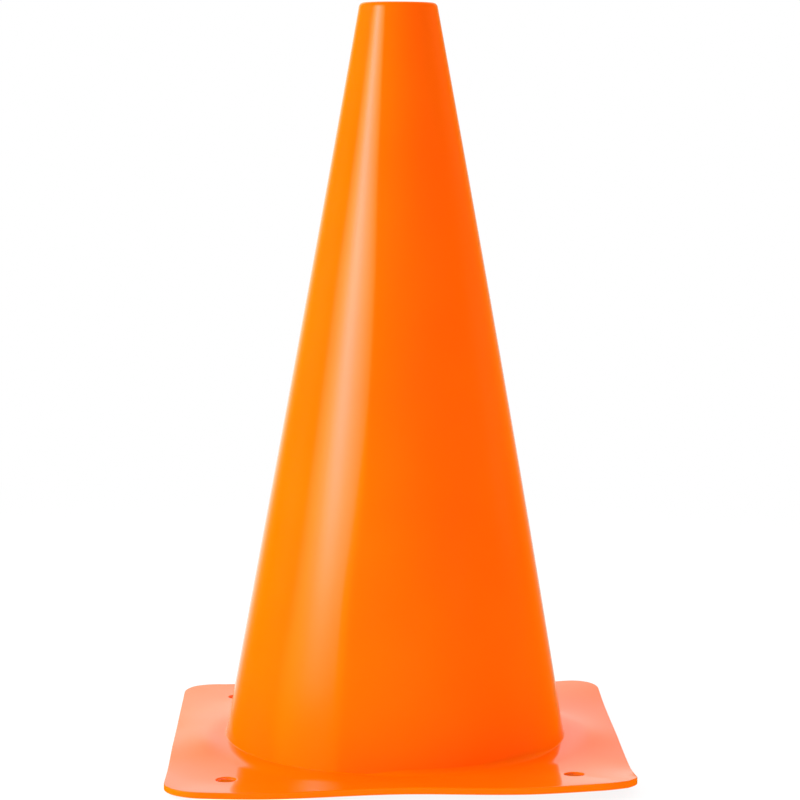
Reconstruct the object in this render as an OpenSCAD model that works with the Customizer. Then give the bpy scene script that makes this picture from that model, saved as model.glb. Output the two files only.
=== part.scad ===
// Sports marker cone: a thin, hollow cone on a square base, moulded as one skin and open underneath.
// All lengths are in millimetres. The origin is on the ground at the middle of the base, +Z up.
// The four nodes are the regions of the moulding. They meet face to face and share its sizes.

/* [Cone] */
// Height from the ground to the top
cone_h = 380; // [150:1:760]
// Outside diameter where the cone meets the base
foot_d = 176; // [80:1:216]
// Outside diameter of the taper, carried up to the top
top_d = 39; // [34:0.5:120]
// Wall thickness, measured square to the wall
wall_t = 1.5; // [0.8:0.1:2.8]
// Radius of the hollow curve between the cone and the base
foot_fillet_r = 1.2; // [0.4:0.1:8]

/* [Top rim] */
// Height of the rim, from the end of the plain wall to the top
rim_h = 8; // [5:0.5:40]
// Outside radius of the rounded top edge
top_edge_r = 3; // [0.8:0.1:4.5]
// Diameter of the hole that a pole goes through
pole_hole_d = 26; // [8:0.5:32]

/* [Base] */
// Width of the square base
base_w = 230; // [200:1:400]
// Outside radius of the base's corners
base_corner_r = 20; // [8:0.5:60]
// Thickness of the base plate
plate_t = 1.5; // [0.8:0.1:2.5]
// Height of the base's outer edge, from the ground to the top of the plate
base_h = 3; // [2:0.1:20]
// Thickness of the lip that turns down along the edge
lip_t = 1.5; // [0.8:0.1:4]

/* [Peg holes] */
// Diameter of the holes for ground pegs
peg_hole_d = 10; // [4:0.5:20]
// Distance from a hole's centre to the two edges beside it
peg_inset = 30; // [18:0.5:40]

/* [Hidden] */
$fn = 128;
foot_r = foot_d / 2;
top_r = top_d / 2;
// How far the wall leans in for each unit of height, and the same as an angle
lean_share = (foot_r - top_r) / (cone_h - base_h);
lean = atan(lean_share);
// The wall's thickness measured level
level_wall = wall_t / cos(lean);
rim_z = cone_h - rim_h;
plate_z = base_h - plate_t;
// Chords that stand in for each rounded edge of a profile
arc_steps = 12;
// How far a cut runs past the face that it opens
overrun = 1;

// Outside and inside radius of the cone at a height
function outer_r(z) = foot_r - lean_share * (z - base_h);
function inner_r(z) = outer_r(z) - level_wall;

// The point inside the top edge that lies at the depth d below the top and as deep behind the wall
function below_top_edge(d) = [top_r - d * (1 - sin(lean)) / cos(lean), cone_h - d];

function arc(centre, r, from, to) =
    [for (i = [0 : arc_steps]) let (a = from + (to - from) * i / arc_steps) centre + r * [cos(a), sin(a)]];

// A square sheet with round corners, standing on z = 0
module rounded_slab(w, r, h) {
    linear_extrude(h) {
        square([w, w - 2 * r], center = true);
        square([w - 2 * r, w], center = true);
        for (x = [-1, 1], y = [-1, 1])
            translate([x * (w / 2 - r), y * (w / 2 - r)])
                circle(r = r);
    }
}

// Plain taper with a small hollow curve at its foot
module cone_wall() {
    fillet_centre = [foot_r + foot_fillet_r * (1 - sin(lean)) / cos(lean), base_h + foot_fillet_r];
    color("darkorange")
        rotate_extrude()
            polygon(concat(
                [[inner_r(base_h), base_h]],
                arc(fillet_centre, foot_fillet_r, 270, 180 + lean),
                [[outer_r(rim_z), rim_z], [inner_r(rim_z), rim_z]]
            ));
}

// Rounded top edge that turns in to a flat ring around the pole's hole
module top_rim() {
    inner_edge_r = max(top_edge_r - wall_t, 0);
    hole_r = pole_hole_d / 2;
    color("darkorange")
        rotate_extrude()
            polygon(concat(
                [[inner_r(rim_z), rim_z], [outer_r(rim_z), rim_z]],
                arc(below_top_edge(top_edge_r), top_edge_r, lean, 90),
                [[hole_r, cone_h], [hole_r, cone_h - wall_t]],
                arc(below_top_edge(wall_t + inner_edge_r), inner_edge_r, 90, lean)
            ));
}

// Square plate, open under the cone along the same taper, with a peg hole near each corner
module base_flange() {
    peg_at = base_w / 2 - peg_inset;
    cut_low = plate_z - overrun;
    cut_high = base_h + overrun;
    color("darkorange")
        difference() {
            translate([0, 0, plate_z])
                rounded_slab(base_w, base_corner_r, plate_t);
            translate([0, 0, cut_low])
                cylinder(h = cut_high - cut_low, r1 = inner_r(cut_low), r2 = inner_r(cut_high));
            for (x = [-1, 1], y = [-1, 1])
                translate([x * peg_at, y * peg_at, cut_low])
                    cylinder(h = cut_high - cut_low, d = peg_hole_d);
        }
}

// Lip that turns down along the plate's edge and stands on the ground
module edge_lip() {
    color("darkorange")
        difference() {
            rounded_slab(base_w, base_corner_r, plate_z);
            translate([0, 0, -overrun])
                rounded_slab(base_w - 2 * lip_t, base_corner_r - lip_t, plate_z + 2 * overrun);
        }
}

cone_wall();
top_rim();
base_flange();
edge_lip();
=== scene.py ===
import math

import bpy
from mathutils import Matrix, Vector
from mathutils.geometry import delaunay_2d_cdt


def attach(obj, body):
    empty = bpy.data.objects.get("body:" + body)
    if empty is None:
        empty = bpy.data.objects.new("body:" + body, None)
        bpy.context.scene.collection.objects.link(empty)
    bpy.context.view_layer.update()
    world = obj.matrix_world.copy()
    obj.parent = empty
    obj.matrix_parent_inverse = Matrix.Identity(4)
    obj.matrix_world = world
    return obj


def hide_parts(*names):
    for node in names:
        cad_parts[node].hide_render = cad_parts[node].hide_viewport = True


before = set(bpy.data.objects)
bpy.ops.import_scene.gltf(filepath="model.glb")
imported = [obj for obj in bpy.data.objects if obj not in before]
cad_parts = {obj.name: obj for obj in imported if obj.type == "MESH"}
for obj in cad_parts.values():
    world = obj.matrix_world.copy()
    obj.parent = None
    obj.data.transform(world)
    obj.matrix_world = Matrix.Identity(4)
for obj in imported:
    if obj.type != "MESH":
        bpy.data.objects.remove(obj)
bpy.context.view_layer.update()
scene = bpy.context.scene

# Camera
# A long lens 1.3 m in front of the cone and 0.34 m above the ground, as the photograph was taken.
# It is level apart from a slight roll, and looks down by seven degrees.
CAMERA_AT = (0.0264, -1.3067, 0.3414)
CAMERA_LENS_MM = 115.78
CAMERA_PAN = math.radians(1.078)
CAMERA_DOWN = math.radians(7.093)
CAMERA_ROLL = math.radians(0.271)
# The base's front side isn't quite square to the lens
BASE_TURN = math.radians(2.608)

camera = bpy.data.objects.new("camera", bpy.data.cameras.new("camera"))
scene.collection.objects.link(camera)
camera.data.lens = CAMERA_LENS_MM
camera.data.sensor_width = 36
camera.data.clip_start = 0.05
camera.data.clip_end = 30
camera.matrix_world = (
    Matrix.Rotation(-BASE_TURN, 4, "Z")
    @ Matrix.Translation(CAMERA_AT)
    @ Matrix.Rotation(CAMERA_PAN, 4, "Z")
    @ Matrix.Rotation(math.radians(90) - CAMERA_DOWN, 4, "X")
    @ Matrix.Rotation(CAMERA_ROLL, 4, "Z")
)
scene.camera = camera


# Cone wall and top rim
# A thin wall of glossy orange polyethylene, moulded in one with the base and open underneath.
# It tapers straight to a rounded edge that turns in to a flat ring, with a hole for a pole.
CONE_H = 0.380
FOOT_R = 0.08755
TOP_R = 0.01949
WALL_T = 0.0015
TOP_EDGE_R = 0.0027
POLE_HOLE_R = 0.013
# Top of the base plate where it meets the cone, and how far the wall reaches down into the plate
FOOT_Z = 0.0056
FOOT_SUNK = 0.0006
TURN_STEPS = 224
WALL_STEPS = 40
SHORT_STEP = 0.0006
TOP_EDGE_STEPS = 14
INNER_EDGE_STEPS = 6
# The soft wall leans to one side by this much at its middle, and is fuller there by this share
WALL_BOW = 0.00083
WALL_SWELL = 0.0055
SHARP_ANGLE = math.radians(35)

LEAN_RATE = (FOOT_R - TOP_R) / (CONE_H - FOOT_Z)
LEAN = math.atan(LEAN_RATE)
LEVEL_WALL = WALL_T / math.cos(LEAN)
# How far sideways a round edge's centre lies from the leaning wall's end, for each unit of its radius
SLANT = (1 - math.sin(LEAN)) / math.cos(LEAN)


def outer_r(z):
    return FOOT_R - LEAN_RATE * (z - FOOT_Z)


def inner_r(z):
    return outer_r(z) - LEVEL_WALL


def arc(centre, radius, start, end, steps):
    """Points along an arc of the wall's section, from one angle to another in degrees."""
    turns = [math.radians(start + (end - start) * i / steps) for i in range(steps + 1)]
    return [(centre[0] + radius * math.cos(a), centre[1] + radius * math.sin(a)) for a in turns]


def wall_section():
    """The wall cut through, as closed points: radius, height, and 1 on the hollow's side or else 0."""
    lean = math.degrees(LEAN)
    round_z = CONE_H - TOP_EDGE_R
    round_r = TOP_R - TOP_EDGE_R * SLANT
    inner_edge_r = TOP_EDGE_R - WALL_T
    inner_top_z = CONE_H - WALL_T - inner_edge_r
    inner_top_r = TOP_R - (WALL_T + inner_edge_r) * SLANT
    # The plain wall's last step is short, so that the round edge's shading ends where it does
    low = FOOT_Z - FOOT_SUNK
    high = round_z + TOP_EDGE_R * math.sin(LEAN) - SHORT_STEP
    rise = [low + (high - low) * i / WALL_STEPS for i in range(WALL_STEPS + 1)]
    hollow = [(inner_r(z), z) for z in rise]
    hollow += arc((inner_top_r, inner_top_z), inner_edge_r, lean, 90, INNER_EDGE_STEPS)
    hollow += [(POLE_HOLE_R, CONE_H - WALL_T)]
    outside = [(POLE_HOLE_R, CONE_H)]
    outside += arc((round_r, round_z), TOP_EDGE_R, 90, lean, TOP_EDGE_STEPS)
    outside += [(outer_r(z), z) for z in reversed(rise)]
    return [(r, z, 1.0) for r, z in hollow] + [(r, z, 0.0) for r, z in outside]


class Wire:
    """A node's output. A sum, difference, product or quotient of wires and numbers adds Math nodes."""

    def __init__(self, bench, socket):
        self.bench = bench
        self.socket = socket

    def __add__(self, other):
        return self.bench.maths("ADD", self, other)

    def __radd__(self, other):
        return self.bench.maths("ADD", other, self)

    def __sub__(self, other):
        return self.bench.maths("SUBTRACT", self, other)

    def __rsub__(self, other):
        return self.bench.maths("SUBTRACT", other, self)

    def __mul__(self, other):
        return self.bench.maths("MULTIPLY", self, other)

    def __rmul__(self, other):
        return self.bench.maths("MULTIPLY", other, self)

    def __truediv__(self, other):
        return self.bench.maths("DIVIDE", self, other)


class Bench:
    """Adds nodes to one tree."""

    def __init__(self, tree):
        self.tree = tree

    def add(self, kind, settings, inputs, output=0):
        """A new node with its settings, then its inputs' values or wires. Gives back the wanted outputs."""
        node = self.tree.nodes.new(kind)
        for name, value in settings.items():
            if name == "stops":
                self.set_stops(node.color_ramp, value)
            else:
                setattr(node, name, value)
        for name, value in inputs.items():
            if isinstance(value, Wire):
                self.tree.links.new(value.socket, node.inputs[name])
            else:
                node.inputs[name].default_value = value
        if not node.outputs:
            return None
        if isinstance(output, tuple):
            return [Wire(self, node.outputs[name]) for name in output]
        return Wire(self, node.outputs[output])

    def set_stops(self, ramp, stops):
        while len(ramp.elements) < len(stops):
            ramp.elements.new(1.0)
        for element, (place, colour) in zip(ramp.elements, stops):
            element.position = place
            element.color = colour

    def maths(self, operation, first, second=0):
        return self.add("ShaderNodeMath", {"operation": operation}, {0: first, 1: second})

    def mix(self, factor, first, second):
        """A colour between two. The colour sockets share their names, so they are picked by place."""
        return self.add("ShaderNodeMix", {"data_type": "RGBA"}, {"Factor": factor, 6: first, 7: second}, 2)

    def fade(self, value, span, start, end):
        """Goes smoothly from start to end while the value passes the span."""
        return self.add(
            "ShaderNodeMapRange",
            {"interpolation_type": "SMOOTHSTEP"},
            {"Value": value, "From Min": span[0], "From Max": span[1], "To Min": start, "To Max": end},
        )


def new_piece(name, points, edges, faces):
    mesh = bpy.data.meshes.new(name)
    mesh.from_pydata(points, edges, faces)
    piece = bpy.data.objects.new(name, mesh)
    scene.collection.objects.link(piece)
    return piece


def settle(piece):
    """Makes the result of the piece's modifier its own plain mesh, and removes the modifier."""
    shaped = piece.evaluated_get(bpy.context.evaluated_depsgraph_get())
    mesh = bpy.data.meshes.new_from_object(shaped)
    piece.modifiers.clear()
    piece.data = mesh


def turning_tree():
    """Turns a section about the cone's axis, bows the wall sideways, and marks its edges and material."""
    tree = bpy.data.node_groups.new("turned_wall", "GeometryNodeTree")
    for name, kind in (
        ("Section", "NodeSocketGeometry"),
        ("Foot Radius", "NodeSocketFloat"),
        ("Turn Steps", "NodeSocketInt"),
        ("Height", "NodeSocketFloat"),
        ("Bow", "NodeSocketFloat"),
        ("Swell", "NodeSocketFloat"),
        ("Sharp Angle", "NodeSocketFloat"),
        ("Plastic", "NodeSocketMaterial"),
    ):
        tree.interface.new_socket(name, in_out="INPUT", socket_type=kind)
    tree.interface.new_socket("Wall", in_out="OUTPUT", socket_type="NodeSocketGeometry")
    bench = Bench(tree)
    group = tree.nodes.new("NodeGroupInput")
    given = {socket.name: Wire(bench, socket) for socket in group.outputs if socket.name}
    foot_r = given["Foot Radius"]
    shift = bench.add("ShaderNodeCombineXYZ", {}, {"X": 0 - foot_r})
    section = bench.add("GeometryNodeMeshToCurve", {}, {"Mesh": given["Section"]})
    section = bench.add(
        "GeometryNodeTransform",
        {},
        {"Geometry": section, "Translation": shift, "Rotation": (math.radians(90), 0, 0)},
    )
    ring = bench.add(
        "GeometryNodeCurvePrimitiveCircle", {}, {"Resolution": given["Turn Steps"], "Radius": foot_r}
    )
    wall = bench.add("GeometryNodeCurveToMesh", {}, {"Curve": ring, "Profile Curve": section})
    place = bench.add("GeometryNodeInputPosition", {}, {})
    x, y, z = bench.add("ShaderNodeSeparateXYZ", {}, {"Vector": place}, ("X", "Y", "Z"))
    rise = z / given["Height"]
    full = 4 * rise * (1 - rise)
    swell = full * given["Swell"]
    bow = bench.add("ShaderNodeCombineXYZ", {}, {"X": x * swell + full * given["Bow"], "Y": y * swell})
    wall = bench.add("GeometryNodeSetPosition", {}, {"Geometry": wall, "Offset": bow})
    wall = bench.add(
        "GeometryNodeSetShadeSmooth", {"domain": "FACE"}, {"Geometry": wall, "Shade Smooth": True}
    )
    angle = bench.add("GeometryNodeInputMeshEdgeAngle", {}, {}, "Unsigned Angle")
    sharp = bench.add(
        "FunctionNodeCompare",
        {"data_type": "FLOAT", "operation": "GREATER_THAN"},
        {"A": angle, "B": given["Sharp Angle"]},
    )
    wall = bench.add(
        "GeometryNodeSetShadeSmooth",
        {"domain": "EDGE"},
        {"Geometry": wall, "Selection": sharp, "Shade Smooth": False},
    )
    wall = bench.add("GeometryNodeRealizeInstances", {}, {"Geometry": wall})
    wall = bench.add("GeometryNodeSetMaterial", {}, {"Geometry": wall, "Material": given["Plastic"]})
    bench.add("NodeGroupOutput", {}, {"Wall": wall})
    return tree


# The plastic drifts between two shades. Its thin edges and the wall's glancing sides are painted warmer, a
# painted glow that stands in for light coming through the plastic
SHADE_DEEP = (1.0, 0.095, 0.0, 1)
SHADE_PALE = (1.0, 0.108, 0.0, 1)
EDGE_GLOW_PAINT = (1.0, 0.13, 0.001, 1)
SIDE_GLOW_PAINT = (1.0, 0.205, 0.0, 1)
# A painted glow of light that comes round inside the wall shows over this span of facing away, up to this
# share
SIDE_GLOW_GLANCE = (0.55, 0.95)
SIDE_GLOW_SHARE = 0.6
# Near the foot there is this much of the painted glow, which grows over this span of height
SIDE_GLOW_FOOT_SHARE = 0.3
SIDE_GLOW_HEIGHT = (0.02, 0.2)
# Roughness of the polished wall, and what scuffs, specks and the mould's matt inner side add to it
CONE_ROUGH = 0.08
SCUFF_ROUGH = 0.04
SPECK_ROUGH = 0.02
CORE_ROUGH = 0.25
# Height of the moulding's slow ripple and of its fine grain
RIPPLE_H = 0.00016
GRAIN_H = 0.000002
# The plastic's noises: their waves to the metre, their detail, and for some of them their stretch
DRIFT = (14, 2)
SPECKS = (900, 1)
SCUFFS = (60, 6, (1, 1, 0.25))
RIPPLE = (16, 1, (1, 1, 0.5))
GRAIN = (420, 2)
# The shade goes from the deep one to the pale one over this span of the drift
DRIFT_SPAN = (0.3, 0.7)
PLASTIC_IOR = 1.5


def orange_plastic(name, gloss, core_side=None, thin_edge=None):
    """Glossy polyethylene of this roughness. Attributes name its matt inner side and its thin edges. With
    the first, glancing sides get a painted warm glow; with the second, thin edges get a painted paler glow.
    """
    material = bpy.data.materials.new(name)
    material.use_nodes = True
    material.node_tree.nodes.clear()
    bench = Bench(material.node_tree)
    place = bench.add("ShaderNodeTexCoord", {}, {}, "Object")

    def noise(scale, detail, stretch=(1, 1, 1)):
        spread = bench.add("ShaderNodeMapping", {}, {"Vector": place, "Scale": stretch})
        return bench.add("ShaderNodeTexNoise", {}, {"Vector": spread, "Scale": scale, "Detail": detail})

    drift = noise(*DRIFT)
    speck = noise(*SPECKS)
    low, high = DRIFT_SPAN
    tone = bench.add("ShaderNodeMapRange", {}, {"Value": drift, "From Min": low, "From Max": high})
    colour = bench.mix(tone, SHADE_DEEP, SHADE_PALE)
    # Painted glow: thin edges are painted paler, for light that comes through the plastic
    if thin_edge:
        thin = bench.add("ShaderNodeAttribute", {"attribute_name": thin_edge}, {}, "Fac")
        colour = bench.mix(thin, colour, EDGE_GLOW_PAINT)
    scuff = noise(*SCUFFS)
    rough = gloss + SCUFF_ROUGH * (scuff - 0.5) + SPECK_ROUGH * (speck - 0.5)
    if core_side:
        inside = bench.add("ShaderNodeAttribute", {"attribute_name": core_side}, {}, "Fac")
        rough = rough + CORE_ROUGH * inside
        # Painted glow: the glancing sides are painted warmer, for light that comes round inside the thin
        # wall, and less of it near the foot
        side_glow = bench.add("ShaderNodeLayerWeight", {}, {"Blend": 0.5}, "Facing")
        side_glow = bench.fade(side_glow, SIDE_GLOW_GLANCE, 0.0, SIDE_GLOW_SHARE)
        height = bench.add("ShaderNodeSeparateXYZ", {}, {"Vector": place}, "Z")
        low, high = SIDE_GLOW_HEIGHT
        side_glow_height_share = bench.add(
            "ShaderNodeMapRange",
            {},
            {"Value": height, "From Min": low, "From Max": high, "To Min": SIDE_GLOW_FOOT_SHARE, "To Max": 1.0},
        )
        colour = bench.mix(side_glow * side_glow_height_share, colour, SIDE_GLOW_PAINT)
    ripple = noise(*RIPPLE)
    grain = noise(*GRAIN)
    relief = ripple * RIPPLE_H + grain * GRAIN_H
    normal = bench.add("ShaderNodeBump", {}, {"Height": relief, "Distance": 1.0, "Strength": 1.0}, "Normal")
    shader = bench.add(
        "ShaderNodeBsdfPrincipled",
        {},
        {"Base Color": colour, "Roughness": rough, "Normal": normal, "IOR": PLASTIC_IOR},
    )
    bench.add("ShaderNodeOutputMaterial", {}, {"Surface": shader})
    return material


section = wall_section()
cone_shell = new_piece(
    "cone_shell",
    [(r, 0, z) for r, z, side in section],
    [(i, (i + 1) % len(section)) for i in range(len(section))],
    [],
)
side_mark = cone_shell.data.attributes.new("core_side", "FLOAT", "POINT")
for i, (r, z, side) in enumerate(section):
    side_mark.data[i].value = side
cone_plastic = orange_plastic("cone_plastic", CONE_ROUGH, "core_side")
turning = turning_tree()
turn = cone_shell.modifiers.new("turn", "NODES")
turn.node_group = turning
sockets = {item.name: item.identifier for item in turning.interface.items_tree if item.in_out == "INPUT"}
for name, value in (
    ("Foot Radius", FOOT_R),
    ("Turn Steps", TURN_STEPS),
    ("Height", CONE_H),
    ("Bow", WALL_BOW),
    ("Swell", WALL_SWELL),
    ("Sharp Angle", SHARP_ANGLE),
    ("Plastic", cone_plastic),
):
    turn[sockets[name]] = value
settle(cone_shell)
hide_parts("cone_wall", "top_rim")
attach(cone_shell, "root")


# Square base and its lip
# The same moulding's flange, a thin plate with round corners, a small lip turned down and four peg holes.
# It is soft, so its edge lifts off the ground here and there, and most at the front right corner.
BASE_HALF = 0.1148
CORNER_R = 0.0188
CORNER_STEPS = 16
PLATE_T = 0.0015
LIP_H = 0.0033
# The lip is this share longer on the base's right side, and as much shorter on its left
LIP_GROWTH = 0.08
LIP_T = 0.0015
EDGE_ROUND = 0.0004
PEG_R = 0.005
PEG_AT = 0.0851
PEG_STEPS = 44
HOLE_ROUND = 0.0003
BASE_ROUGH = 0.07
# Steps of the rounded edges: the plate's, the lip's, and a hole's above and below
EDGE_STEPS = 5
LIP_STEPS = 3
HOLE_TOP_STEPS = 4
HOLE_UNDER_STEPS = 2
# The plate's triangles. Their points keep this share of a step from its edges
MESH_STEP = 0.0019
EDGE_CLEAR = 0.6
# A triangle whose middle is nearer to an edge than this share of a step is a sliver, and is left out
SLIVER = 0.05
SAME_POINT = 1e-9
# The middle of the base is this far from the cone's axis
BASE_MID = Vector((0.0006, -0.0008))
# The soft plate is wider by this share at its back side, and narrower at its front
BASE_SPREAD = 0.005
# The plate lies flat round the foot as far out as this, and its opening follows the wall's inside
FOOT_FLAT_R = 0.0883
FOOT_INNER_R = inner_r(FOOT_Z) + FOOT_SUNK
FOOT_RING_STEPS = 288
# Radius of the hollow curve between wall and plate, by degrees to the right of the middle of the front
FOOT_CURVES = (
    (-180, 0.0012), (-110, 0.0008), (-52, 0.0006), (-14, 0.0006),
    (4, 0.004), (44, 0.004), (66, 0.0007), (180, 0.0012),
)
FOOT_CURVE_REACH = 0.004
FOOT_OUT_STEPS = 3
FOOT_CURVE_STEPS = 12
# Its last step up the wall lies this far inside the wall's face
FOOT_MELT = 0.00003
# Height of the edge's top, from the middle of the front towards the right, four places on each side
EDGE_TOP_MM = (7.3, 7.2, 10.0, 3.9, 3.6, 3.8, 6.2, 4.2, 3.9, 5.6, 3.8, 3.5, 6.9, 3.5, 6.5, 5.7)
# Rises and dips of the plate in millimetres: their place, their reach along x and y, and their height
WAVES_MM = (
    (-94, -87, 53, 30, -3.1), (94, -98, 26, 19, -1.2), (86, 83, 23, 48, -2.0), (-93, -22, 10, 22, 1.7),
    (-88, 96, 19, 37, -2.0), (-121, 5, 15, 34, -4.4), (91, -3, 19, 29, 1.6), (-123, -86, 18, 23, 2.6),
    (80, -77, 46, 22, -1.7),
)
# They start at the foot and are full this far out from it
WAVE_START = 0.014
# How late the plate's slope comes on its way from the foot to the edge
SLOPE_POWER = 0.95
# Where the lip comes down to the ground, the plate levels out within this height, and sinks by the next one
SOFT_LANDING = 0.0005
LANDING_SUNK = 0.00019


def edge_top(x, y):
    """Height of the edge's top beside a place, smoothly between the given heights."""
    far = max(abs(x), abs(y))
    if y <= 0 and abs(x) <= abs(y):
        u = 2 * x / far
    elif x > 0 and abs(x) > abs(y):
        u = 4 + 2 * y / far
    elif y > 0 and abs(x) <= abs(y):
        u = 8 - 2 * x / far
    else:
        u = 12 - 2 * y / far
    i = math.floor(u)
    t = u - i
    a, b, c, d = (EDGE_TOP_MM[(i + k) % len(EDGE_TOP_MM)] / 1000 for k in (-1, 0, 1, 2))
    return b + t / 2 * (c - a + t * (2 * a - 5 * b + 4 * c - d + t * (3 * (b - c) + d - a)))


def smooth(share):
    """From 0 to 1 with level ends."""
    share = min(max(share, 0), 1)
    return share * share * (3 - 2 * share)


def plate_top(x, y):
    """Height of the plate's top at a place."""
    r = math.hypot(x, y)
    edge = r / max(abs(x), abs(y)) * BASE_HALF
    share = min(max((r - FOOT_FLAT_R) / (edge - FOOT_FLAT_R), 0), 1)
    waves = sum(
        lift * math.exp(-((1000 * x - at_x) / reach_x) ** 2 - ((1000 * y - at_y) / reach_y) ** 2)
        for at_x, at_y, reach_x, reach_y, lift in WAVES_MM
    )
    waves *= smooth((r - FOOT_FLAT_R) / WAVE_START) / 1000
    lowest = LIP_H * (1 + LIP_GROWTH * x / BASE_HALF) - LANDING_SUNK
    above = FOOT_Z + (edge_top(x, y) - FOOT_Z) * share**SLOPE_POWER + waves - lowest
    return lowest + (above + math.hypot(above, SOFT_LANDING)) / 2


def foot_curve(x, y):
    """Radius of the hollow curve at the cone's foot beside a place."""
    turned = math.degrees(math.atan2(x, -y))
    for (a, first), (b, second) in zip(FOOT_CURVES, FOOT_CURVES[1:]):
        if turned <= b:
            return first + (second - first) * smooth((turned - a) / (b - a))


def placed(spot):
    """Where a place of the even square lies on the soft base."""
    return BASE_MID + Vector((spot.x * (1 + BASE_SPREAD * spot.y / BASE_HALF), spot.y))


PEG_CENTRES = [placed(Vector((x * PEG_AT, y * PEG_AT))) for x in (-1, 1) for y in (-1, 1)]


def outline(inset):
    """The base's outline, moved in by a length, as points in anticlockwise order."""
    corner = BASE_HALF - CORNER_R
    radius = CORNER_R - inset
    side_steps = round(2 * corner / MESH_STEP)
    points = []
    for quarter in range(4):
        turned = Matrix.Rotation(math.radians(90 * quarter), 2)
        for i in range(side_steps):
            points.append(placed(turned @ Vector((BASE_HALF - inset, corner * (2 * i / side_steps - 1)))))
        for i in range(CORNER_STEPS):
            a = math.radians(90 * i / CORNER_STEPS)
            bend = Vector((corner + radius * math.cos(a), corner + radius * math.sin(a)))
            points.append(placed(turned @ bend))
    return points


def opening(centre, radius, steps):
    """A round opening's edge, as points in clockwise order."""
    turns = [-2 * math.pi * i / steps for i in range(steps)]
    return [centre + Vector((radius * math.cos(a), radius * math.sin(a))) for a in turns]


def room(spot, inset, peg_r, foot_r):
    """How far a place lies inside a sheet with this inset and these openings, less than zero off it."""
    corner = BASE_HALF - CORNER_R
    even = spot - BASE_MID
    x = abs(even.x / (1 + BASE_SPREAD * even.y / BASE_HALF))
    y = abs(even.y)
    past = Vector((max(x - corner, 0), max(y - corner, 0)))
    to_edge = CORNER_R - inset - past.length
    if past.length == 0:
        to_edge = BASE_HALF - inset - max(x, y)
    to_pegs = min((spot - centre).length for centre in PEG_CENTRES) - peg_r
    return min(to_edge, to_pegs, spot.length - foot_r)


def on_plate(flat, drop):
    """Points this far below the plate's top."""
    return [(p.x, p.y, plate_top(p.x, p.y) - drop) for p in flat]


def foot_points(way):
    """The foot's points in one direction, from the plate in and up to the wall."""
    radius = foot_curve(way.x, way.y)
    first = radius * SLANT
    in_step = (FOOT_CURVE_REACH - first) / FOOT_OUT_STEPS
    steps = [(FOOT_CURVE_REACH - in_step * i, 0) for i in range(FOOT_OUT_STEPS)]
    steps += arc((first, radius), radius, 270, 180 + math.degrees(LEAN), FOOT_CURVE_STEPS)
    out, up = steps[-1]
    steps.append((out - SHORT_STEP * math.sin(LEAN) - FOOT_MELT, up + SHORT_STEP * math.cos(LEAN)))
    points = []
    for out, up in steps:
        spot = way * (FOOT_R + out)
        z = plate_top(spot.x, spot.y) + up
        rise = z / CONE_H
        points.append((spot.x + 4 * rise * (1 - rise) * WALL_BOW, spot.y, z))
    return points


class Skin:
    """One closed skin, put together from sheets with round openings and from bands between two rings."""

    def __init__(self):
        self.points = []
        self.thin = []
        self.faces = []

    def ring(self, points, thin=0.0):
        """Adds points, with 1 where a painted glow stands in for light through the thin plastic, and gives
        back their numbers.
        """
        start = len(self.points)
        self.points += points
        self.thin += [thin] * len(points)
        return range(start, len(self.points))

    def band(self, first, second):
        """Joins two rings of as many points, facing out where the first is above and anticlockwise."""
        n = len(first)
        for i in range(n):
            k = (i + 1) % n
            self.faces.append((first[i], second[i], second[k], first[k]))

    def bands(self, rings):
        for first, second in zip(rings, rings[1:]):
            self.band(first, second)

    def sheet(self, rings, ends, drop, facing_up):
        """Fills the plate between these rings. Its ends are its inset and its openings' radii."""
        row_step = MESH_STEP * math.sqrt(3) / 2
        rows = round(2 * BASE_HALF / row_step)
        spots = []
        for row in range(rows + 1):
            for column in range(round(2 * BASE_HALF / MESH_STEP) + 1):
                spot = Vector((column * MESH_STEP + row % 2 * MESH_STEP / 2, row * row_step))
                spot -= Vector((BASE_HALF, BASE_HALF))
                if room(spot, *ends) > EDGE_CLEAR * MESH_STEP:
                    spots.append(spot)
        numbers = [n for ring in rings for n in ring] + list(self.ring(on_plate(spots, drop)))
        flat = [Vector(self.points[n][:2]) for n in numbers]
        edges = []
        start = 0
        for ring in rings:
            edges += [(start + i, start + (i + 1) % len(ring)) for i in range(len(ring))]
            start += len(ring)
        found, _, triangles, origins, _, _ = delaunay_2d_cdt(flat, edges, [], 0, SAME_POINT)
        for triangle in triangles:
            middle = sum((found[i] for i in triangle), Vector((0, 0))) / 3
            if room(middle, *ends) > SLIVER * MESH_STEP:
                a, b, c = (numbers[origins[i][0]] for i in triangle)
                self.faces.append((a, b, c) if facing_up else (a, c, b))


def rounding(radius, steps):
    """How far in and how far down a rounded edge's steps lie, from its flat side to its upright side."""
    turns = [math.radians(90 * i / steps) for i in range(steps + 1)]
    return [(radius * (1 - math.sin(a)), radius * (1 - math.cos(a))) for a in turns]


base = Skin()
edge_cut = [(EDGE_ROUND + SHORT_STEP, 0)] + rounding(EDGE_ROUND, EDGE_STEPS)
edge_cut += [(inset, LIP_H - drop) for inset, drop in reversed(rounding(HOLE_ROUND, LIP_STEPS))]
edge_cut += [(LIP_T, LIP_H), (LIP_T, PLATE_T)]
edge_rings = []
for inset, drop in edge_cut:
    ring = []
    for p in outline(inset):
        ring.append((p.x, p.y, plate_top(p.x, p.y) - drop * (1 + LIP_GROWTH * p.x / BASE_HALF)))
    edge_rings.append(base.ring(ring, min(1, drop / EDGE_ROUND)))
base.bands(edge_rings)
top_rings = [edge_rings[0]]
under_rings = [edge_rings[-1]]
peg_cut = [(HOLE_ROUND + SHORT_STEP, 0)] + rounding(HOLE_ROUND, HOLE_TOP_STEPS)
peg_cut += [(out, PLATE_T - drop) for out, drop in reversed(rounding(HOLE_ROUND, HOLE_UNDER_STEPS))]
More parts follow.
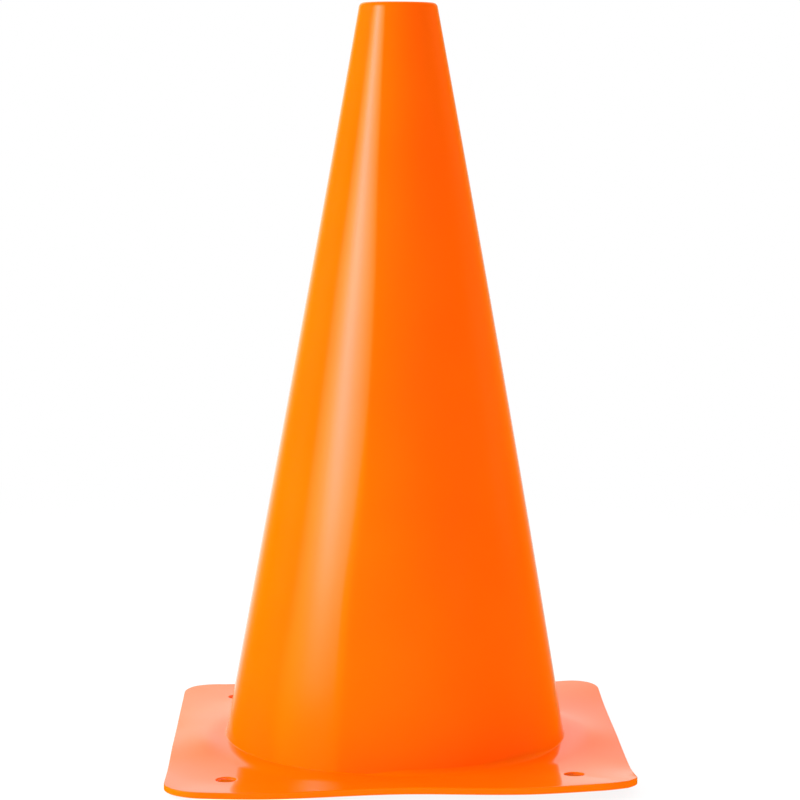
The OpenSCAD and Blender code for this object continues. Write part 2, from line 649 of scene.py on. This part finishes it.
for centre in PEG_CENTRES:
    rings = [
        base.ring(on_plate(opening(centre, PEG_R + out, PEG_STEPS), drop), min(1, drop / HOLE_ROUND))
        for out, drop in peg_cut
    ]
    base.bands(rings)
    top_rings.append(rings[0])
    under_rings.append(rings[-1])
ways = opening(Vector((0, 0)), 1, FOOT_RING_STEPS)
foot_rings = [base.ring(list(points)) for points in zip(*(foot_points(way) for way in ways))]
foot_under_r = inner_r(FOOT_Z - PLATE_T)
for r, drop in ((FOOT_INNER_R, 0), (foot_under_r, PLATE_T)):
    foot_rings.append(base.ring(on_plate([way * r for way in ways], drop)))
base.bands(foot_rings)
top_ends = (EDGE_ROUND + SHORT_STEP, PEG_R + HOLE_ROUND + SHORT_STEP, FOOT_R + FOOT_CURVE_REACH)
base.sheet(top_rings + [foot_rings[0]], top_ends, 0, True)
base.sheet(under_rings + [foot_rings[-1]], (LIP_T, PEG_R + HOLE_ROUND, foot_under_r), PLATE_T, False)
square_base = new_piece("square_base", base.points, [], base.faces)
square_base.data.shade_smooth()
square_base.data.set_sharp_from_angle(angle=SHARP_ANGLE)
# Where the base's rounded edges and hole rims get the painted glow of light through the plastic
edge_glow_mark = square_base.data.attributes.new("thin_edge", "FLOAT", "POINT")
for i, thin in enumerate(base.thin):
    edge_glow_mark.data[i].value = thin
square_base.data.materials.append(orange_plastic("base_plastic", BASE_ROUGH, thin_edge="thin_edge"))
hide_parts("base_flange", "edge_lip")
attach(square_base, "root")


# Floor
# A plain white table, which shows to the lens as the white of the surroundings.
# Under the base it shows mostly a painted orange glow with a share of its own shading, and around the cone a
# share of its own shading, so that the shadow stays.
FLOOR_HALF = 6.0
FLOOR_WHITE = 0.92
FLOOR_DIM = 0.2
FLOOR_SUNK = 0.00002
# Half the width of the table's part under the base, and how far back its middle lies
UNDER_BASE = 0.098
UNDER_BACK = 0.005
# An orange glow painted on the table under the base stands in for the light that comes down through the thin
# plastic
UNDER_GLOW_PAINT = (1.0, 0.16, 0.0, 1)
UNDER_GLOW_SHARE = 0.75
# Share of its own shading that the table keeps near the cone, and the span over which it ends
SHADOW_SHARE = 0.1
SHADOW_SPAN = (0.25, 0.9)
# Over this span away from the cone the table grows darker to all but the lens and the gloss
TABLE_SPAN = (0.25, 1.3)
# How bright the surroundings show in the glossy plastic, by degrees from straight behind, left below zero
MIRRORED = (
    (-180, 0.0), (-50, 0.0), (-40, 0.02), (-32, 0.13), (-24, 0.5), (-16, 0.82), (-10, 0.86), (-4, 0.9),
    (4, 0.85), (10, 0.7), (16, 0.45), (24, 0.15), (32, 0.04), (40, 0.01), (50, 0.0), (180, 0.0),
)
# On the table these directions start from the cone's side, which is this far from its axis
MIRROR_SIDE = 0.08
# Warm light that shows in the plastic on all sides, of which the white takes away this share
MIRRORED_WARM = 0.2
WARM_LOST = 0.75


def mirrored_room(bench, x, y):
    """The surroundings' colour as the gloss shows it, by the direction that x and y point in."""
    stops = []
    for degrees, level in MIRRORED:
        warm = level + MIRRORED_WARM * (1 - WARM_LOST * level)
        stops.append((0.5 + degrees / 360, (warm, warm, level, 1)))
    turned = bench.maths("ARCTAN2", x, y) / (2 * math.pi) + 0.5
    return bench.add("ShaderNodeValToRGB", {"stops": stops}, {"Fac": turned})


floor = new_piece(
    "floor",
    [(x * FLOOR_HALF, y * FLOOR_HALF, -FLOOR_SUNK) for x, y in ((-1, -1), (1, -1), (1, 1), (-1, 1))],
    [],
    [(0, 1, 2, 3)],
)
floor_paint = bpy.data.materials.new("floor_paint")
floor_paint.use_nodes = True
floor_paint.node_tree.nodes.clear()
bench = Bench(floor_paint.node_tree)
to_lens, to_gloss, to_glass = bench.add(
    "ShaderNodeLightPath", {}, {}, ("Is Camera Ray", "Is Glossy Ray", "Is Transmission Ray")
)
place = bench.add("ShaderNodeTexCoord", {}, {}, "Object")
across, along = bench.add("ShaderNodeSeparateXYZ", {}, {"Vector": place}, ("X", "Y"))
beside = bench.maths("ABSOLUTE", across)
behind = bench.maths("ABSOLUTE", along - UNDER_BACK)
under = bench.maths("LESS_THAN", bench.maths("MAXIMUM", beside, behind), UNDER_BASE)
away = bench.add("ShaderNodeVectorMath", {"operation": "LENGTH"}, {0: place}, "Value")
own = bench.maths("MAXIMUM", under, bench.fade(away, SHADOW_SPAN, SHADOW_SHARE, 0.0))
table = bench.fade(away, TABLE_SPAN, FLOOR_WHITE, FLOOR_DIM)
table = bench.add("ShaderNodeCombineColor", {}, {0: table, 1: table, 2: table})
plain = bench.add("ShaderNodeBsdfDiffuse", {}, {"Color": table})
from_side = across - bench.maths("MAXIMUM", bench.maths("MINIMUM", across, MIRROR_SIDE), -MIRROR_SIDE)
# Painted glow: under the base the table shows orange, for light that comes through the plastic
tint = bench.mix(under, (1, 1, 1, 1), UNDER_GLOW_PAINT)
tint = bench.mix(to_gloss, tint, mirrored_room(bench, from_side, along))
white = bench.add("ShaderNodeEmission", {}, {"Color": tint})
shown = (to_lens + to_glass) * (1 - own + under * UNDER_GLOW_SHARE) + to_gloss * (1 - under)
surface = bench.add("ShaderNodeMixShader", {}, {0: shown, 1: plain, 2: white})
bench.add("ShaderNodeOutputMaterial", {}, {"Surface": surface})
floor.data.materials.append(floor_paint)


# Surroundings and lamps
# A pale room that is whiter behind the cone. The gloss shows its white only there, and warm light all round.
# A large softbox on the left draws the bright strip on the wall, and a key lamp beside it lights that side.
ROOM_LIGHT = 1.06
BACK_LIGHT = 3.4
# It brightens over this span of the way round to straight behind
BACK_SPAN = (-0.1, 0.5)
# It is darker overhead, and what shows in the gloss ends there, as spans of the way to straight up
CEILING_SPAN = (0.3, 1.0)
CEILING_LIGHT = 0.5
MIRRORED_END = (0.7, 0.9)
SOFTBOX_AZIMUTH = math.radians(61)
SOFTBOX_AWAY = 2.6
SOFTBOX_W = 4.0
SOFTBOX_H = 2.1
SOFTBOX_Z = 1.05
SOFTBOX_GLOW = 7.2
# Blue in its white
SOFTBOX_BLUE = 0.9
# Strength of the warm glow round that white, which ends over this span of the white's level
SOFTBOX_WARM = 0.17
WARM_SPAN = (0.35, 0.85)
# The softbox's brightness from its left to its right and from its foot up, as shares
SOFTBOX_ACROSS = (
    (0.1, 0), (0.124, 0.012), (0.196, 0.09), (0.28, 0.18), (0.364, 0.4), (0.428, 0.76), (0.476, 0.98),
    (0.508, 1), (0.556, 0.88), (0.62, 0.58), (0.7, 0.355), (0.772, 0.19), (0.844, 0.06), (0.872, 0.01),
    (0.9, 0),
)
SOFTBOX_UP = (
    (0, 0), (0.09, 0), (0.1, 0.02), (0.111, 0.1), (0.133, 0.15), (0.153, 0.21), (0.175, 0.3), (0.204, 0.47),
    (0.261, 0.73), (0.319, 0.86), (0.429, 0.95), (0.58, 0.83), (0.709, 0.78), (0.777, 0.4), (0.846, 0.1),
    (1, 0.05),
)
# The warm glow's strength from left to right
WARM_ACROSS = ((0.14, 0), (0.28, 1), (0.84, 1), (0.87, 0.2), (0.9, 0))
# Its light rises this much from its left to its right, as a share of its height
SOFTBOX_TILT = 0.178
# It narrows and moves aside above this share of its height
SOFTBOX_FULL_UP = 0.443
SOFTBOX_TAPER = 2.15
SOFTBOX_SHIFT = 0.16
# And it spreads below this share
SOFTBOX_LOW = 0.23
SOFTBOX_SPREAD = 1.5
# Its side beside the lens is cut off upright near its foot, at this share of its width
SOFTBOX_CUT = 0.684
# The cut slants away above this share of its height
SOFTBOX_CUT_FROM = 0.18
SOFTBOX_CUT_SLANT = 1.07
# The warm glow is cut farther out. Low down it has this share of its strength, and grows over this span
WARM_CUT = 0.76
WARM_FAINT = 0.45
WARM_RISE = (0.06, 0.16)
KEY_AZIMUTH = math.radians(82)
KEY_HEIGHT = math.radians(38)
KEY_AWAY = 1.8
KEY_SIZE = 1.0
KEY_Z = 0.15
KEY_POWER = 32.0

world = bpy.data.worlds.new("room")
scene.world = world
world.use_nodes = True
world.node_tree.nodes.clear()
bench = Bench(world.node_tree)
to_lens, to_gloss, to_glass = bench.add(
    "ShaderNodeLightPath", {}, {}, ("Is Camera Ray", "Is Glossy Ray", "Is Transmission Ray")
)
way = bench.add("ShaderNodeTexCoord", {}, {}, "Generated")
across, back, up = bench.add("ShaderNodeSeparateXYZ", {}, {"Vector": way}, ("X", "Y", "Z"))
lit = bench.fade(back, BACK_SPAN, ROOM_LIGHT, BACK_LIGHT) * bench.fade(up, CEILING_SPAN, 1.0, CEILING_LIGHT)
mirrored = bench.add(
    "ShaderNodeVectorMath",
    {"operation": "SCALE"},
    {0: mirrored_room(bench, across, back), "Scale": bench.fade(up, MIRRORED_END, 1.0, 0.0)},
)
seen = to_lens + to_glass
colour = bench.mix(to_gloss, seen + (1 - seen) * lit, mirrored)
pale_room = bench.add("ShaderNodeBackground", {}, {"Color": colour})
bench.add("ShaderNodeOutputWorld", {}, {"Surface": pale_room})


def lamp(name, azimuth, height, away, target_z, size, power):
    """A flat lamp that looks at the cone, from an azimuth to the left of the lens, and above level."""
    data = bpy.data.lights.new(name, "AREA")
    data.shape = "RECTANGLE"
    data.size, data.size_y = size
    data.energy = power
    piece = bpy.data.objects.new(name, data)
    level = Vector((-math.sin(azimuth), -math.cos(azimuth), 0))
    out = level * math.cos(height) + Vector((0, 0, math.sin(height)))
    piece.location = Vector((0, 0, target_z)) + out * away
    piece.rotation_euler = out.to_track_quat("Z", "Y").to_euler()
    piece.visible_camera = False
    scene.collection.objects.link(piece)
    return piece


# A flat lamp's power spreads over its area and its half room
softbox_power = SOFTBOX_GLOW * math.pi * SOFTBOX_W * SOFTBOX_H
softbox = lamp(
    "softbox", SOFTBOX_AZIMUTH, 0, SOFTBOX_AWAY, SOFTBOX_Z, (SOFTBOX_W, SOFTBOX_H), softbox_power
)
softbox.data.use_nodes = True
softbox.data.node_tree.nodes.clear()
bench = Bench(softbox.data.node_tree)
spot = bench.add("ShaderNodeNewGeometry", {}, {}, "Parametric")
across, up = bench.add("ShaderNodeSeparateXYZ", {}, {"Vector": spot}, ("X", "Y"))
up = up - SOFTBOX_TILT * (across - 0.5)
slanted = bench.maths("MAXIMUM", up - SOFTBOX_CUT_FROM, 0)
upright = across - SOFTBOX_CUT_SLANT * slanted
uncut = bench.maths("LESS_THAN", upright, SOFTBOX_CUT)
warm_uncut = bench.maths("LESS_THAN", upright, WARM_CUT)
warm_up = bench.fade(up, WARM_RISE, WARM_FAINT, 1.0)
high = bench.maths("MAXIMUM", up - SOFTBOX_FULL_UP, 0)
low = bench.maths("MAXIMUM", SOFTBOX_LOW - up, 0)
taper = 1 + SOFTBOX_TAPER * high - SOFTBOX_SPREAD * low
across = 0.5 + (across - 0.5) * taper + SOFTBOX_SHIFT * high
shares = []
for way, steps in ((across, SOFTBOX_ACROSS), (up, SOFTBOX_UP), (across, WARM_ACROSS)):
    stops = [(place, (share, share, share, 1)) for place, share in steps]
    shares.append(bench.add("ShaderNodeValToRGB", {"stops": stops}, {"Fac": way}))
white_share = shares[0] * shares[1]
warm_share = bench.fade(white_share, WARM_SPAN, SOFTBOX_WARM, 0.0)
white_share = white_share * uncut
red = white_share + warm_share * shares[2] * warm_up * warm_uncut
blue = white_share * SOFTBOX_BLUE
colour = bench.add("ShaderNodeCombineColor", {}, {"Red": red, "Green": red, "Blue": blue})
glow = bench.add("ShaderNodeEmission", {}, {"Color": colour})
bench.add("ShaderNodeOutputLight", {}, {"Surface": glow})
key = lamp("key", KEY_AZIMUTH, KEY_HEIGHT, KEY_AWAY, KEY_Z, (KEY_SIZE, KEY_SIZE), KEY_POWER)
key.visible_glossy = False

scene.view_settings.view_transform = "Standard"
